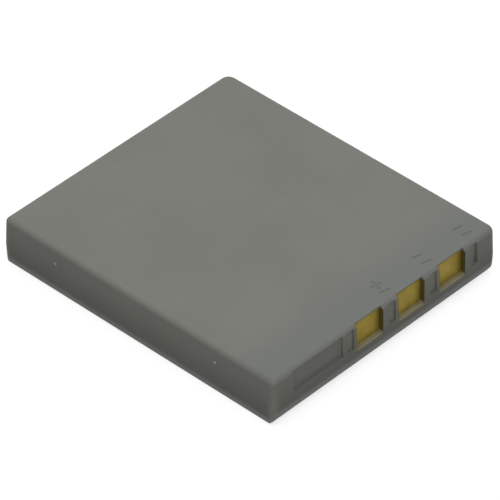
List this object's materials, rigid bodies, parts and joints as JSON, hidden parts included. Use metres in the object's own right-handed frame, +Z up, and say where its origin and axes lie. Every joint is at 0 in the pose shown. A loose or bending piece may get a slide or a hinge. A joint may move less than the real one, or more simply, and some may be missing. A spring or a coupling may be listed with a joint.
{
  "type": "camera battery",
  "caption": "Slim flat rechargeable camera battery: moulded case with recessed gold contacts in one end wall, keying slots beside them and a rounded keying edge.",
  "frame": {"origin": "centre of the outline of the bottom face, on which the battery lies", "axes": "+X across the battery towards its rounded keying edge, +Y along it from the contact end wall to the plain end wall, +Z up through the thickness"},
  "size_m": [0.0354, 0.04, 0.0059],
  "materials": {
    "case_plastic": "fine matte moulding grain",
    "gold_plate": "gold plated, satin",
    "cell_aluminium": "drawn, satin",
    "nickel_plate": "nickel plated, satin",
    "nickel_strip": "rolled nickel",
    "gasket_plastic": "moulded, matte",
    "insulating_film": "smooth film",
    "board_laminate": "lacquered laminate",
    "chip_resin": "moulded, matte",
    "chip_ceramic": "fired, matte",
    "breaker_resin": "moulded, satin",
    "tape_film": "double-sided tape",
    "foam": "closed-cell foam"
  },
  "bodies": {
    "root": {"main_case": "case_plastic", "bottom_cover": "case_plastic", "contact_positive": "gold_plate", "contact_signal": "gold_plate", "contact_negative": "gold_plate", "circuit_board": "board_laminate", "cell_can": "cell_aluminium", "cell_gasket": "gasket_plastic", "cell_rivet": "nickel_plate", "clad_plate": "nickel_plate", "head_insulator": "insulating_film", "thermal_fuse": "breaker_resin", "positive_tab": "nickel_strip", "negative_tab": "nickel_strip", "positive_weld_block": "nickel_plate", "negative_weld_block": "nickel_plate", "protection_ic": "chip_resin", "dual_mosfet": "chip_resin", "thermistor": "chip_ceramic", "filter_resistor": "chip_resin", "sense_resistor": "chip_resin", "filter_capacitor": "chip_ceramic", "surge_capacitor": "chip_ceramic", "upper_tape": "tape_film", "lower_tape": "tape_film", "end_pad": "foam"}
  },
  "joints": []
}
